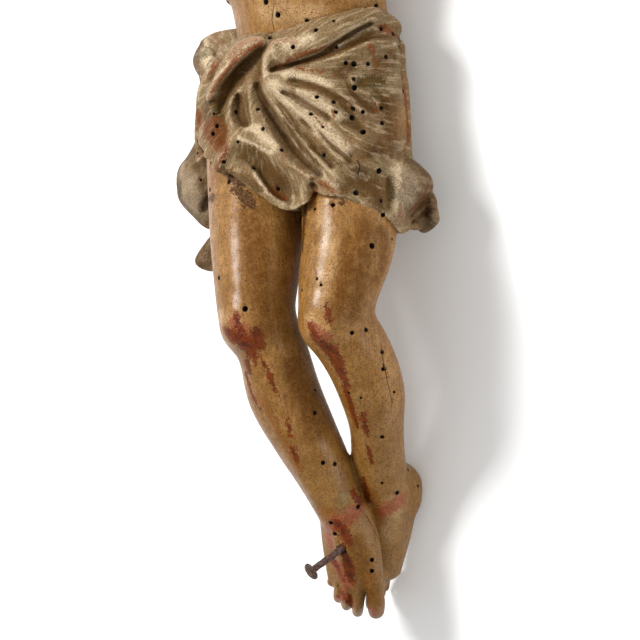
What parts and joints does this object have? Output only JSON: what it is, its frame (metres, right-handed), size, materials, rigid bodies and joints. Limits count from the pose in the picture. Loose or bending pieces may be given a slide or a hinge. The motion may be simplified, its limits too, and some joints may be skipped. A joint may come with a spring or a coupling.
{
  "type": "crucifix corpus figure",
  "caption": "Carved and painted wooden corpus for a crucifix: bent knees, crossed feet with an iron nail, knotted loincloth with deep folds, arms raised to both sides.",
  "frame": {"origin": "middle of the flat on the back of the hips, which lies against the cross or the table", "axes": "+Z out of the figure's front, +Y from the feet to the head, +X to the figure's own left; the figure lies on its back"},
  "size_m": [0.3149, 0.3686, 0.0664],
  "materials": {
    "painted_wood": "aged flesh tone and grey-white paint on carved wood, worn, with worm holes",
    "iron_nail": "rusted dark"
  },
  "bodies": {
    "root": {"corpus": "painted_wood", "foot_nail": "iron_nail"}
  },
  "joints": []
}
